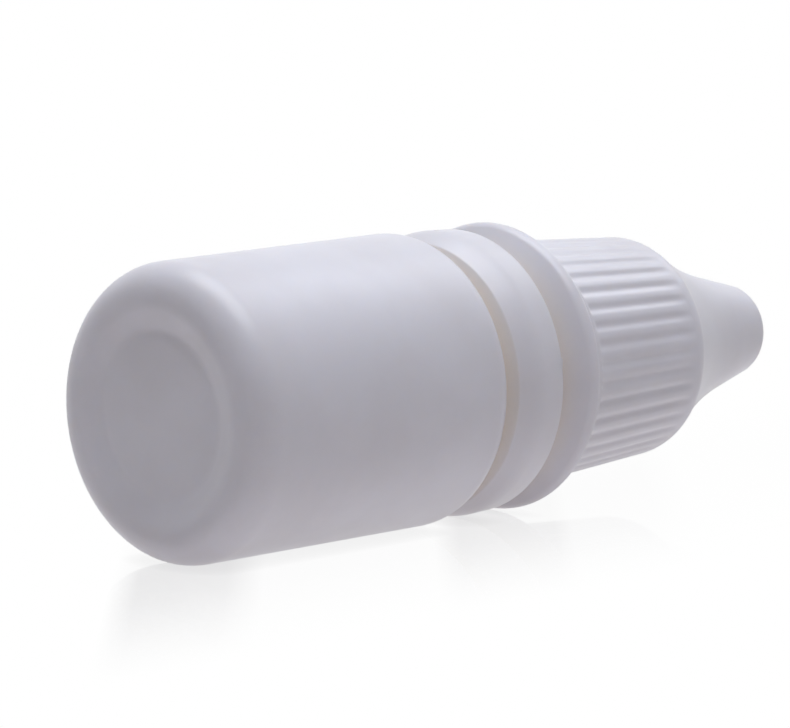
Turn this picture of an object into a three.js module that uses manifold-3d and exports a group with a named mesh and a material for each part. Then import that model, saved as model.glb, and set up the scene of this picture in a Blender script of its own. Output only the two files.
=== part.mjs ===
// Dual-chamber dropper vial: a squeeze bottle for the liquid, a powder chamber hung in its neck,
// a plunger that pushes the powder chamber's plug out, a dropper tip, and a ribbed screw cap with a
// tear ring under its flange.
// Millimetres, +Z up along the vial's axis, origin at the centre of the base.
import * as THREE from 'three';
import { mergeVertices } from 'three/addons/utils/BufferGeometryUtils.js';
import Module from 'manifold-3d';

// Bottle body
const BODY_RADIUS = 12;
const BODY_HEIGHT = 28; // base to the top of the shoulder's round edge
const BODY_WALL = 1;
const HEEL_RADIUS = 2.85;
const INNER_HEEL_RADIUS = 2.35;
const STANDING_WIDTH = 0.45; // flat ring that the vial stands on
const PANEL_DEPTH = 0.65; // base panel, sunk inside the standing ring
const PANEL_SLOPE = 2; // wide slope from that ring in to the panel
const SHOULDER_RADIUS = 1.7;
const SHOULDER_RISE = 0.5; // cone from the round edge up to the neck

// Powder chamber, a tube with a funnel end, hung by its flange on the neck's rim
const CHAMBER_BORE = 5;
const CHAMBER_WALL = 1.1;
const CHAMBER_LENGTH = 20.5; // from the neck's rim down
const CHAMBER_FLANGE = 1;
const CHAMBER_TAPER = 4.5; // height of the slim outer end
const CHAMBER_TIP_WALL = 1;
const MOUTH_RADIUS = 3.6;
const MOUTH_LENGTH = 3;
const FUNNEL_LENGTH = 2;
const CHAMBER_FIT = 0.06; // radial, chamber in neck

// Neck
const NECK_WALL = 1.2;
const NECK_ENGAGEMENT = 11.7; // length of neck inside the cap
const BEAD_LENGTH = 1.2; // bead that keeps the tear ring on the neck
const BEAD_LEAD = 1.2;

// Plug in the powder chamber's mouth
const PLUG_FIT = 0.05;
const PLUG_DEPTH = 2.7; // length inside the mouth
const PLUG_FLANGE_WIDTH = 0.9;
const PLUG_FLANGE = 0.9;
const PLUG_WAIST = 0.25; // groove between the two sealing bands
const PLUG_BAND = 0.68; // height of each band and of the groove's sides
const PLUG_CHAMFER = 0.45;
const PLUG_DISH = 0.4;

// Plunger, a hollow stem with a piston, a press shoulder and a spigot for the tip
const PLUNGER_TRAVEL = 4.4;
const PLUNGER_STOP_GAP = 0.1; // left over at the end of the travel
const PLUNGER_BORE = 1;
const STEM_RADIUS = 1.9;
const STEM_GAP = 0.2; // stem's end to plug
const STEM_SLOT_WIDTH = 0.9;
const STEM_SLOT_HEIGHT = 2.2;
const PISTON_SETBACK = 1; // below the neck's rim
const PISTON_LENGTH = 3;
const PISTON_CLEARANCE = 0.15;
const PLUNGER_NECK_RADIUS = 3.3;
const PRESS_SHOULDER = 1;
const PRESS_SHOULDER_RADIUS = 6.2;
const SPIGOT_RADIUS = 2.4;
const SPIGOT_LENGTH = 3;

// Sealing ring in the piston's groove
const SEAL_CORD_RADIUS = 0.5;
const SEAL_FIT = 0.03;
const SEAL_GROOVE_SPARE = 0.15; // each side of the cord

// Dropper tip, snapped over the spigot
const TIP_BASE_RADIUS = 3.6;
const TIP_COLLAR = 1.4;
const TIP_LENGTH = 11.7;
const TIP_END_RADIUS = 1.75;
const TIP_LIP = 0.35;
const TIP_HOLE_RADIUS = 0.45;
const TIP_FIT = 0.05;

// Soft pad in the cap's nose that closes the drop hole
const PAD_RADIUS = 2.45;
const PAD_THICKNESS = 1.45;
const PAD_CHAMFER = 0.48;
const PAD_GAP = 0.1; // to the tip below
const PAD_FIT = 0.05; // in its socket
const PAD_SOCKET = 1.6; // how much of the socket is cylindrical

// Tear ring
const RING_GROOVE = 0.8; // open groove between the shoulder's edge and the ring
const RING_HEIGHT = 5.4;
const RING_WALL = 2.7;
const RING_INSET = 0.2; // its side lies this far inside the body's
const RING_DRAFT = 0.12;
const RING_FLANK_WIDTH = 1.6; // conical lower face, radially
const RING_FLANK_RISE = 0.96;
const RING_FLARE_WIDTH = 0.8; // soft flare from that face out to the side
const RING_FLARE_HEIGHT = 2.44;
const RING_FLARE_BEND = 1.64; // height at which the flare's two tangents meet
const RING_LIP_HEIGHT = 1.6;
const RING_CLEARANCE = 0.4;
const BRIDGE_COUNT = 6;
const BRIDGE_ANGLE = 35; // degrees, first bridge
const BRIDGE_GAP = 1.6; // ring to cap
const BRIDGE_BREAK = 0.3; // parted break line under the cap
const BRIDGE_WIDTH = 0.8;
const BRIDGE_DEPTH = 0.5;
const BRIDGE_INSET = 0.05; // from the ring's bore
const BRIDGE_NARROWING = 0.6;

// Cap
const THREAD_ROOM = 0.85; // radial, neck to cap bore
const CAP_WALL = 1.8;
const FLANGE_INSET = 0.09; // its rim lies this far inside the body's side
const FLANGE_CONE_WIDTH = 2.24; // conical underside, radially
const FLANGE_CONE_RISE = 1.8;
const FLANGE_RIM = 0.9; // thickness at the rim
const FLANGE_LOWER_EDGE = 1;
const FLANGE_EDGE = 0.4;
const PLAIN_BAND = 2; // smooth band between flange and ribs
const CAP_TAPER = 0.96; // radius lost between flange and crown
const RIB_COUNT = 40;
const RIB_PHASE = -0.55; // degrees
const RIB_HEIGHT = 0.28;
const RIB_WIDTH = 1.3;
const RIB_FLANK = 0.05; // straight part of a rib's sides
const RIB_BACK_WIDTH = 0.7; // of the rounded back, at its shoulders
const RIB_BACK_DROP = 0.08; // from the crest to those shoulders
const RIB_HEAD = 1.2; // length over which a rib sinks into the wall below the crown
const PRESS_GAP = 0.1; // cap's ceiling to the press shoulder
const CEILING_CLEARANCE = 0.7; // radial, round the press shoulder
const CROWN_SETBACK = 0.95; // ribs end this far below the ceiling
const CROWN_HEIGHT = 1.4;
const CROWN_DRAW = 0.45; // radius lost over the crown's edge
const NOSE_CLEARANCE = 1.6; // radial, round the tip's base
const NOSE_WALL = 1.5;
const NOSE_ROOF = 1.6;
const NOSE_SLOPE = 0.26; // radius per millimetre of the nose's cone
const NOSE_CONE_LENGTH = 4;
const NOSE_EDGE_RADIUS = 1.75;

// Facets
const LARGE_SEGMENTS = 56;
const SMALL_SEGMENTS = 32;
const HEEL_STEPS = 6; // along the bottle's heel
const EDGE_STEPS = 5; // along the smaller rounded edges
const RIM_STEPS = 3; // along each edge of the flange
const SWEEP_STEPS = 8; // along the nose's hollow sweep
const CORD_STEPS = 8; // round the sealing ring's cord
const CUT_OVERLAP = 0.3; // how far added pieces sink and cutters overshoot
const MERGE_DISTANCE = 1e-4;

// Radii, worked outwards from the powder chamber
const chamberRadius = CHAMBER_BORE + CHAMBER_WALL;
const neckBore = chamberRadius + CHAMBER_FIT;
const neckRadius = neckBore + NECK_WALL;
const lipRadius = neckRadius + RING_CLEARANCE;
const capBore = neckRadius + THREAD_ROOM;
const capRadius = capBore + CAP_WALL;
const noseTopRadius = PAD_RADIUS + PAD_FIT + NOSE_WALL;

// Radii, worked inwards from the body, with which the ring and the flange are all but flush
const flangeRadius = BODY_RADIUS - FLANGE_INSET;
const ringRadius = BODY_RADIUS - RING_INSET;
const ringBore = ringRadius - RING_WALL;
const beadRadius = ringBore - RING_CLEARANCE;

// Heights, worked upwards from the base
const neckFoot = BODY_HEIGHT + SHOULDER_RISE;
const ringBottom = BODY_HEIGHT + RING_GROOVE;
const ringTop = ringBottom + RING_HEIGHT;
const capBottom = ringTop + BRIDGE_GAP;
const flangeTop = capBottom + FLANGE_CONE_RISE + FLANGE_RIM;
const ribStart = flangeTop + PLAIN_BAND;
const neckTop = capBottom + NECK_ENGAGEMENT;
const chamberTop = neckTop + CHAMBER_FLANGE;
const chamberBottom = neckTop - CHAMBER_LENGTH;
const shoulderBottom = chamberTop + PLUNGER_TRAVEL + PLUNGER_STOP_GAP;
const shoulderTop = shoulderBottom + PRESS_SHOULDER;
const ceiling = shoulderTop + PRESS_GAP;
const crownStart = ceiling - CROWN_SETBACK;
const crownTop = crownStart + CROWN_HEIGHT;
const tipTop = shoulderTop + TIP_LENGTH;
const padBottom = tipTop + PAD_GAP;
const socketTop = padBottom + PAD_THICKNESS + PAD_FIT;
const noseTop = socketTop + NOSE_ROOF;
const waist = socketTop - NOSE_CONE_LENGTH;

const { Manifold, Mesh: SolidMesh } = await loadSolids();

async function loadSolids() {
  const library = await Module();
  library.setup();
  return library;
}

// Points on an arc in the radius and height plane, angles in degrees from the radius axis.
function arc(centreRadius, centreHeight, radius, from, to, steps) {
  const points = [];
  for (let i = 0; i <= steps; i += 1) {
    const angle = THREE.MathUtils.degToRad(from + ((to - from) * i) / steps);
    points.push([centreRadius + radius * Math.cos(angle), centreHeight + radius * Math.sin(angle)]);
  }
  return points;
}

// Turned body about +Z from [radius, height] points, listed outwards, up, inwards and down.
function revolve(profile, segments) {
  const points = profile.map(([radius, height]) => new THREE.Vector2(radius, height));
  return new THREE.LatheGeometry(points, segments).rotateX(Math.PI / 2);
}

function closed(profile) {
  return [...profile, profile[0]];
}

function toSolid(geometry) {
  const bare = new THREE.BufferGeometry();
  bare.setAttribute('position', geometry.getAttribute('position'));
  bare.setIndex(geometry.getIndex());
  const merged = mergeVertices(bare, MERGE_DISTANCE);
  const corners = merged.getIndex().array;
  const triangles = [];
  for (let i = 0; i < corners.length; i += 3) {
    const [a, b, c] = corners.slice(i, i + 3);
    if (a !== b && b !== c && c !== a) triangles.push(a, b, c);
  }
  const vertProperties = Float32Array.from(merged.getAttribute('position').array);
  return new Manifold(new SolidMesh({ numProp: 3, vertProperties, triVerts: Uint32Array.from(triangles) }));
}

function toGeometry(solid) {
  const mesh = solid.getMesh();
  const geometry = new THREE.BufferGeometry();
  geometry.setAttribute('position', new THREE.BufferAttribute(Float32Array.from(mesh.vertProperties), 3));
  geometry.setIndex(Array.from(mesh.triVerts));
  geometry.computeVertexNormals();
  return geometry;
}

// Places a geometry built round +Y at an angle about +Z, in degrees from +X.
function turned(geometry, angle) {
  return geometry.rotateZ(THREE.MathUtils.degToRad(angle - 90));
}

function makeBottle() {
  const heelCentre = BODY_RADIUS - HEEL_RADIUS;
  const crestRadius = heelCentre - STANDING_WIDTH;
  const shoulderCentre = BODY_RADIUS - SHOULDER_RADIUS;
  const shoulderHeight = BODY_HEIGHT - SHOULDER_RADIUS;
  const beadBottom = ringBottom + RING_LIP_HEIGHT + RING_CLEARANCE;
  const beadTop = beadBottom + BEAD_LENGTH;
  const innerHeelCentre = BODY_RADIUS - BODY_WALL - INNER_HEEL_RADIUS;
  const floor = PANEL_DEPTH + BODY_WALL;
  const innerShoulder = BODY_RADIUS - BODY_WALL;
  return revolve([
    [0, PANEL_DEPTH],
    [crestRadius - PANEL_SLOPE, PANEL_DEPTH],
    [crestRadius, 0],
    ...arc(heelCentre, HEEL_RADIUS, HEEL_RADIUS, -90, 0, HEEL_STEPS),
    ...arc(shoulderCentre, shoulderHeight, SHOULDER_RADIUS, 0, 90, EDGE_STEPS),
    [neckRadius, neckFoot],
    [neckRadius, beadBottom],
    [beadRadius, beadBottom],
    [beadRadius, beadTop],
    [neckRadius, beadTop + BEAD_LEAD],
    [neckRadius, neckTop],
    [neckBore, neckTop],
    [neckBore, neckFoot - BODY_WALL],
    [innerShoulder - SHOULDER_RADIUS, BODY_HEIGHT - BODY_WALL],
    [innerShoulder, shoulderHeight - BODY_WALL],
    ...arc(innerHeelCentre, floor + INNER_HEEL_RADIUS, INNER_HEEL_RADIUS, 0, -90, EDGE_STEPS),
    [0, floor],
  ], LARGE_SEGMENTS);
}

function makePowderChamber() {
  const tipRadius = MOUTH_RADIUS + CHAMBER_TIP_WALL;
  const mouthTop = chamberBottom + MOUTH_LENGTH;
  return revolve(closed([
    [MOUTH_RADIUS, chamberBottom],
    [tipRadius, chamberBottom],
    [chamberRadius, chamberBottom + CHAMBER_TAPER],
    [chamberRadius, neckTop],
    [neckRadius, neckTop],
    [neckRadius, chamberTop],
    [CHAMBER_BORE, chamberTop],
    [CHAMBER_BORE, mouthTop + FUNNEL_LENGTH],
    [MOUTH_RADIUS, mouthTop],
  ]), SMALL_SEGMENTS);
}

function plugTop() {
  return chamberBottom + PLUG_DEPTH;
}

function makeChamberPlug() {
  const radius = MOUTH_RADIUS - PLUG_FIT;
  const flangeSide = MOUTH_RADIUS + PLUG_FLANGE_WIDTH;
  const flangeUnder = chamberBottom - PLUG_FIT;
  const flangeBase = flangeUnder - PLUG_FLANGE;
  return revolve([
    [0, flangeBase],
    [flangeSide - PLUG_CHAMFER, flangeBase],
    [flangeSide, flangeBase + PLUG_CHAMFER],
    [flangeSide, flangeUnder],
    [radius, flangeUnder],
    [radius, chamberBottom + PLUG_BAND],
    [radius - PLUG_WAIST, chamberBottom + 2 * PLUG_BAND],
    [radius, chamberBottom + 3 * PLUG_BAND],
    [radius - PLUG_WAIST, plugTop()],
    [STEM_RADIUS, plugTop()],
    [0, plugTop() - PLUG_DISH],
  ], SMALL_SEGMENTS);
}

// Groove for the sealing ring, and the ring's cord, share the piston's mid height.
const pistonTop = neckTop - PISTON_SETBACK;
const pistonBottom = pistonTop - PISTON_LENGTH;
const sealHeight = (pistonTop + pistonBottom) / 2;
const sealCentre = CHAMBER_BORE - SEAL_FIT - SEAL_CORD_RADIUS;

function makePlunger() {
  const pistonRadius = CHAMBER_BORE - PISTON_CLEARANCE;
  const grooveRadius = sealCentre - SEAL_CORD_RADIUS - SEAL_FIT;
  const grooveHalf = SEAL_CORD_RADIUS + SEAL_GROOVE_SPARE;
  const stemBottom = plugTop() + STEM_GAP;
  const body = toSolid(revolve(closed([
    [PLUNGER_BORE, stemBottom],
    [STEM_RADIUS, stemBottom],
    [STEM_RADIUS, pistonBottom],
    [pistonRadius, pistonBottom],
    [pistonRadius, sealHeight - grooveHalf],
    [grooveRadius, sealHeight - grooveHalf],
    [grooveRadius, sealHeight + grooveHalf],
    [pistonRadius, sealHeight + grooveHalf],
    [pistonRadius, pistonTop],
    [PLUNGER_NECK_RADIUS, pistonTop],
    [PLUNGER_NECK_RADIUS, shoulderBottom],
    [PRESS_SHOULDER_RADIUS, shoulderBottom],
    [PRESS_SHOULDER_RADIUS, shoulderTop],
    [SPIGOT_RADIUS, shoulderTop],
    [SPIGOT_RADIUS, shoulderTop + SPIGOT_LENGTH],
    [PLUNGER_BORE, shoulderTop + SPIGOT_LENGTH],
  ]), SMALL_SEGMENTS));
  const slotLength = 2 * (STEM_RADIUS + CUT_OVERLAP);
  const slotHeight = STEM_SLOT_HEIGHT + CUT_OVERLAP;
  const slotMiddle = stemBottom - CUT_OVERLAP + slotHeight / 2;
  const slot = new THREE.BoxGeometry(slotLength, STEM_SLOT_WIDTH, slotHeight).translate(0, 0, slotMiddle);
  const crossed = slot.clone().rotateZ(Math.PI / 2);
  return toGeometry(body.subtract(toSolid(slot)).subtract(toSolid(crossed)));
}

function makePlungerSeal() {
  return revolve(arc(sealCentre, sealHeight, SEAL_CORD_RADIUS, 0, 360, CORD_STEPS), SMALL_SEGMENTS);
}

function makeDropperTip() {
  const socketRadius = SPIGOT_RADIUS + TIP_FIT;
  const socketEnd = shoulderTop + SPIGOT_LENGTH + TIP_FIT;
  const collarTop = shoulderTop + TIP_COLLAR;
  return revolve(closed([
    [socketRadius, shoulderTop],
    [TIP_BASE_RADIUS, shoulderTop],
    [TIP_BASE_RADIUS, collarTop],
    [TIP_END_RADIUS, tipTop - TIP_LIP],
    [TIP_END_RADIUS - TIP_LIP, tipTop],
    [TIP_HOLE_RADIUS, tipTop],
    [PLUNGER_BORE, socketEnd],
    [socketRadius, socketEnd],
  ]), SMALL_SEGMENTS);
}

function makeTipSeal() {
  const padTop = padBottom + PAD_THICKNESS;
  return revolve([
    [0, padBottom],
    [TIP_END_RADIUS, padBottom],
    [PAD_RADIUS, padBottom + PAD_CHAMFER],
    [PAD_RADIUS, padTop],
    [0, padTop],
  ], SMALL_SEGMENTS);
}

// A conical lower face, then a flare that runs up into the plain band.
function ringOutline() {
  const flareFoot = ringBottom + RING_FLANK_RISE;
  const flareRadius = ringRadius - RING_FLARE_WIDTH;
  const flare = new THREE.QuadraticBezierCurve(
    new THREE.Vector2(flareRadius, flareFoot),
    new THREE.Vector2(ringRadius, flareFoot + RING_FLARE_BEND),
    new THREE.Vector2(ringRadius, flareFoot + RING_FLARE_HEIGHT),
  );
  return [
    [flareRadius - RING_FLANK_WIDTH, ringBottom],
    ...flare.getPoints(EDGE_STEPS).map((point) => [point.x, point.y]),
  ];
}

function makeTearRing() {
  const edgeRadius = ringRadius - RING_DRAFT;
  const lipTop = ringBottom + RING_LIP_HEIGHT;
  const band = toSolid(revolve(closed([
    [lipRadius, ringBottom],
    ...ringOutline(),
    [edgeRadius, ringTop],
    [ringBore, ringTop],
    [ringBore, lipTop],
    [lipRadius, lipTop],
  ]), LARGE_SEGMENTS));
  const foot = BRIDGE_WIDTH / 2;
  const head = foot * BRIDGE_NARROWING;
  const height = BRIDGE_GAP - BRIDGE_BREAK;
  const side = new THREE.Shape([
    new THREE.Vector2(-foot, -CUT_OVERLAP),
    new THREE.Vector2(foot, -CUT_OVERLAP),
    new THREE.Vector2(head, height),
    new THREE.Vector2(-head, height),
  ]);
  let ring = band;
  for (let i = 0; i < BRIDGE_COUNT; i += 1) {
    const bridge = new THREE.ExtrudeGeometry(side, { depth: BRIDGE_DEPTH, bevelEnabled: false });
    bridge.rotateX(Math.PI / 2).translate(0, ringBore + BRIDGE_INSET + BRIDGE_DEPTH, ringTop);
    ring = ring.add(toSolid(turned(bridge, BRIDGE_ANGLE + (360 * i) / BRIDGE_COUNT)));
  }
  return toGeometry(ring);
}

// Outer radius of the nose's cone at a height, before its rounded end.
function noseRadius(height) {
  return noseTopRadius + NOSE_SLOPE * (socketTop - height);
}

const taperSlope = CAP_TAPER / (crownStart - flangeTop);

// Cap from its flange to the tip of the nose. The extra radius is added to the ribbed wall only, up to
// where the ribs begin to sink.
function capOutline(extra) {
  const rimBottom = capBottom + FLANGE_CONE_RISE;
  const coneTurn = Math.atan2(FLANGE_CONE_WIDTH, FLANGE_CONE_RISE);
  const lowerEdge = rimBottom + FLANGE_LOWER_EDGE * Math.tan(coneTurn / 2);
  const lowerCentre = flangeRadius - FLANGE_LOWER_EDGE;
  const crownRadius = capRadius - CAP_TAPER;
  const bend = (crownTop + waist) / 2;
  const sweep = new THREE.QuadraticBezierCurve(
    new THREE.Vector2(crownRadius - CROWN_DRAW, crownTop),
    new THREE.Vector2(noseRadius(bend), bend),
    new THREE.Vector2(noseRadius(waist), waist),
  );
  const lean = THREE.MathUtils.radToDeg(Math.atan(NOSE_SLOPE));
  const endHeight = noseTop - NOSE_EDGE_RADIUS;
  const endRadius = noseRadius(endHeight) - NOSE_EDGE_RADIUS * Math.hypot(1, NOSE_SLOPE);
  return [
    [0, capBottom],
    [flangeRadius - FLANGE_CONE_WIDTH, capBottom],
    ...arc(lowerCentre, lowerEdge, FLANGE_LOWER_EDGE, -THREE.MathUtils.radToDeg(coneTurn), 0, RIM_STEPS),
    ...arc(flangeRadius - FLANGE_EDGE, flangeTop - FLANGE_EDGE, FLANGE_EDGE, 0, 90, RIM_STEPS),
    [capRadius + extra, flangeTop],
    [crownRadius + taperSlope * RIB_HEAD + extra, crownStart - RIB_HEAD],
    [crownRadius, crownStart],
    ...sweep.getPoints(SWEEP_STEPS).map((point) => [point.x, point.y]),
    ...arc(endRadius, endHeight, NOSE_EDGE_RADIUS, lean, 90, EDGE_STEPS),
    [0, noseTop],
  ];
}

// Space inside the cap: thread bore, room for the press shoulder, nose and the pad's socket.
function capHollow() {
  const socketRadius = PAD_RADIUS + PAD_FIT;
  const shoulderRoom = PRESS_SHOULDER_RADIUS + CEILING_CLEARANCE;
  const noseRoom = TIP_BASE_RADIUS + NOSE_CLEARANCE;
  return [
    [0, capBottom - CUT_OVERLAP],
    [capBore, capBottom - CUT_OVERLAP],
    [capBore, chamberTop + CEILING_CLEARANCE],
    [shoulderRoom, shoulderBottom],
    [shoulderRoom, ceiling],
    [noseRoom, ceiling],
    [noseRoom, shoulderTop + SPIGOT_LENGTH],
    [noseRadius(waist) - NOSE_WALL, waist],
    [socketRadius, socketTop - PAD_SOCKET],
    [socketRadius, socketTop],
    [0, socketTop],
  ];
}

// One rib standing on the tapered wall, with a rounded back and its foot sunk in the wall.
function makeRib() {
  const half = RIB_WIDTH / 2;
  const back = RIB_BACK_WIDTH / 2;
  const section = new THREE.Shape([
    new THREE.Vector2(-half, -CUT_OVERLAP),
    new THREE.Vector2(half, -CUT_OVERLAP),
    new THREE.Vector2(half, RIB_FLANK),
    new THREE.Vector2(back, RIB_HEIGHT - RIB_BACK_DROP),
    new THREE.Vector2(0, RIB_HEIGHT),
    new THREE.Vector2(-back, RIB_HEIGHT - RIB_BACK_DROP),
    new THREE.Vector2(-half, RIB_FLANK),
  ]);
  const length = crownStart - ribStart;
  const rib = new THREE.ExtrudeGeometry(section, { depth: length, bevelEnabled: false });
  const leanIn = new THREE.Matrix4().makeShear(0, 0, 0, 0, 0, -taperSlope);
  const foot = capRadius - taperSlope * PLAIN_BAND;
  return rib.applyMatrix4(leanIn).translate(0, foot, ribStart);
}

function makeCap() {
  const core = toSolid(revolve(capOutline(0), LARGE_SEGMENTS));
  const envelope = toSolid(revolve(capOutline(RIB_HEIGHT), LARGE_SEGMENTS));
  let cap = core;
  for (let i = 0; i < RIB_COUNT; i += 1) {
    const rib = toSolid(turned(makeRib(), RIB_PHASE + (360 * i) / RIB_COUNT));
    cap = cap.add(rib.intersect(envelope));
  }
  return toGeometry(cap.subtract(toSolid(revolve(capHollow(), SMALL_SEGMENTS))));
}

function piece(name, geometry, color, roughness) {
  const mesh = new THREE.Mesh(geometry, new THREE.MeshStandardMaterial({ color, roughness, metalness: 0 }));
  mesh.name = name;
  return mesh;
}

const vial = new THREE.Group();
vial.name = 'dual_chamber_vial';
vial.add(
  piece('bottle', makeBottle(), 0xe3e1ea, 0.42),
  piece('powder_chamber', makePowderChamber(), 0xe8e8e6, 0.35),
  piece('chamber_plug', makeChamberPlug(), 0xb9bcc2, 0.6),
  piece('plunger', makePlunger(), 0xf0efe9, 0.35),
  piece('plunger_seal', makePlungerSeal(), 0xa9adb4, 0.55),
  piece('dropper_tip', makeDropperTip(), 0xe9eaec, 0.4),
  piece('tear_ring', makeTearRing(), 0xe4e2e8, 0.4),
  piece('cap', makeCap(), 0xe2e0e8, 0.4),
  piece('tip_seal', makeTipSeal(), 0xc4c7cc, 0.6),
);

export default vial;
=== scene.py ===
import math

import bmesh
import bpy
from mathutils import Matrix, Vector


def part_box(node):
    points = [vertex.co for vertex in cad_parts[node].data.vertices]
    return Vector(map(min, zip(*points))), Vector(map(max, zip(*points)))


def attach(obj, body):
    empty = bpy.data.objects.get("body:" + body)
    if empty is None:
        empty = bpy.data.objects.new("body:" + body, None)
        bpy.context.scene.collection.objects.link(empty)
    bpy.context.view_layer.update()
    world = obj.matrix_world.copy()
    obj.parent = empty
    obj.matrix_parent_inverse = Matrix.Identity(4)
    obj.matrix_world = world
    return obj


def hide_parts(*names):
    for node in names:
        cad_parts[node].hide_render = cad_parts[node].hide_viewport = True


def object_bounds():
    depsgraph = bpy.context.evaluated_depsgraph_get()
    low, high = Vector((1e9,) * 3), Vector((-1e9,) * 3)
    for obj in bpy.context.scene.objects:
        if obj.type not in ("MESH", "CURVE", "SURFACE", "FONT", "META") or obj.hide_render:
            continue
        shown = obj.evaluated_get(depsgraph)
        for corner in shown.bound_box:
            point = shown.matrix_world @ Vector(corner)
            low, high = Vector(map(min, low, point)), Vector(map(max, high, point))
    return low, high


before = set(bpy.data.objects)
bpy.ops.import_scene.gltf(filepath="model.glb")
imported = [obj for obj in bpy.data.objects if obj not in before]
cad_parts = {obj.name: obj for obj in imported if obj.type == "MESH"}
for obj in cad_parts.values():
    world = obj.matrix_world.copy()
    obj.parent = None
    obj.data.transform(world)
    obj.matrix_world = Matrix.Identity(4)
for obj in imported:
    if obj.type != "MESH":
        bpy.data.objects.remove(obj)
cad_low, cad_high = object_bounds()

# Bottle
# Squeeze bottle that holds the liquid, moulded in white polyethylene with a satin skin. Its round heel
# and sunk base panel come from the mould's bottom half, its neck bead and screw thread from the neck ring.
MM = 0.001
bottle_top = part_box("bottle")[1]
body_radius = bottle_top.x
neck_top = bottle_top.z
body_height = 28 * MM
body_wall = 1 * MM
heel_round = 2.85 * MM
inner_heel_round = 2.35 * MM
panel_radius = 6.7 * MM
panel_depth = 0.65 * MM
panel_round = 2.4 * MM
standing_radius = 8.7 * MM
standing_round = 2.8 * MM
shoulder_round = 1.7 * MM
neck_foot = 28.5 * MM
neck_radius = 7.36 * MM
neck_bore = 6.16 * MM
bead_radius = 8.7 * MM
bead_bottom = 30.8 * MM
bead_top = 32 * MM
bead_lead = 1.2 * MM
small_round = 0.15 * MM
sharp_edge = math.radians(35)
on_axis = 1e-9
thread_pitch = 3 * MM
thread_height = 0.6 * MM
thread_sink = 0.2 * MM
thread_root = 1.25 * MM
thread_crest = 0.55 * MM
neck_thread_bottom = 36.9 * MM
neck_thread_turns = 2.8
bottle_tint = (0.78, 0.76, 0.82, 1)
bottle_shade = (0.74, 0.715, 0.765, 1)
# Painted shade: the warm beige that the bottle's grooves and crevices take on.
bottle_crevice_shade = (0.8, 0.755, 0.72, 1)


def rounded(corners, steps=6):
    """Outline through (radius, height, rounding) corners, with each rounding drawn as an arc."""
    points = []
    for before, corner, after in zip([corners[-1], *corners[:-1]], corners, [*corners[1:], corners[0]]):
        middle = Vector(corner[:2])
        rounding = corner[2]
        if rounding == 0:
            points.append(middle)
            continue
        back = (Vector(before[:2]) - middle).normalized()
        ahead = (Vector(after[:2]) - middle).normalized()
        half = back.angle(ahead) / 2
        centre = middle + (back + ahead).normalized() * rounding / math.sin(half)
        start = middle + back * rounding / math.tan(half) - centre
        end = middle + ahead * rounding / math.tan(half) - centre
        sweep = start.angle_signed(end)
        for step in range(steps + 1):
            points.append(centre + Matrix.Rotation(-sweep * step / steps, 2) @ start)
    return points


def turned(name, outline, columns, loop=False, relief=None):
    """Body of revolution about +Z. The outline runs outwards, up, inwards and down, from axis to axis or in a
    loop, and relief(angle, point) gives the radius to add at an angle."""
    rings = []
    places = []
    for point in outline:
        if point.x < on_axis:
            rings.append([len(places)] * columns)
            places.append((0, 0, point.y))
            continue
        rings.append(range(len(places), len(places) + columns))
        for column in range(columns):
            angle = math.tau * column / columns
            radius = point.x + (relief(angle, point) if relief else 0)
            places.append((radius * math.cos(angle), radius * math.sin(angle), point.y))
    faces = []
    for lower, upper in zip(rings, [*rings[1:], rings[0]] if loop else rings[1:]):
        for column in range(columns):
            beside = (column + 1) % columns
            corners = (lower[column], lower[beside], upper[beside], upper[column])
            faces.append(tuple(dict.fromkeys(corners)))
    mesh = bpy.data.meshes.new(name)
    mesh.from_pydata(places, [], faces)
    mesh.shade_smooth()
    mesh.set_sharp_from_angle(angle=sharp_edge)
    piece = bpy.data.objects.new(name, mesh)
    bpy.context.scene.collection.objects.link(piece)
    return piece


def swept(sections):
    """Closed mesh through a row of like sections, each a list of places."""
    form = bmesh.new()
    rows = [[form.verts.new(place) for place in section] for section in sections]
    count = len(rows[0])
    for lower, upper in zip(rows, rows[1:]):
        for i in range(count):
            beside = (i + 1) % count
            form.faces.new((lower[i], lower[beside], upper[beside], upper[i]))
    form.faces.new(rows[0][::-1])
    form.faces.new(rows[-1])
    bmesh.ops.recalc_face_normals(form, faces=form.faces)
    return form


def moulded_on(piece, form):
    """Adds a form to a piece that comes out of the same mould."""
    loose = bpy.data.meshes.new("loose")
    form.to_mesh(loose)
    loose.shade_smooth()
    loose.set_sharp_from_angle(angle=sharp_edge)
    whole = bmesh.new()
    whole.from_mesh(piece.data)
    whole.from_mesh(loose)
    whole.to_mesh(piece.data)
    whole.free()
    form.free()
    bpy.data.meshes.remove(loose)


def screw_thread(wall, height, bottom, turns):
    """Right-handed ridge round +Z, standing out from a wall where its height is positive and in where it is
    negative. It rises from the wall and runs out into it over a share of a turn."""
    steps_per_turn = 96
    run_out = 0.2
    sink = -math.copysign(thread_sink, height)
    sections = []
    steps = round(turns * steps_per_turn)
    for step in range(steps + 1):
        turn = step / steps_per_turn
        rise = min(1, turn / run_out, (turns - turn) / run_out)
        crest = height * math.sin(rise * math.pi / 2)
        middle = bottom + thread_pitch * turn
        angle = math.tau * turn
        section = []
        for across, out in ((-thread_root, sink), (-thread_root, 0), (-thread_crest, crest),
                            (thread_crest, crest), (thread_root, 0), (thread_root, sink)):
            radius = wall + out
            section.append((radius * math.cos(angle), radius * math.sin(angle), middle + across / 2))
        sections.append(section)
    return swept(sections)


def link(tree, source, output, target, socket):
    """Joins two nodes by the names or numbers of their sockets."""
    tree.links.new(source.outputs[output], target.inputs[socket])


def stretched(tree, value, low, high):
    """Share that is 0 where a value is at its low end and 1 where it is at its high end."""
    node = tree.nodes.new("ShaderNodeMapRange")
    node.inputs["From Min"].default_value = low
    node.inputs["From Max"].default_value = high
    tree.links.new(value, node.inputs["Value"])
    return node.outputs["Result"]


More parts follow.
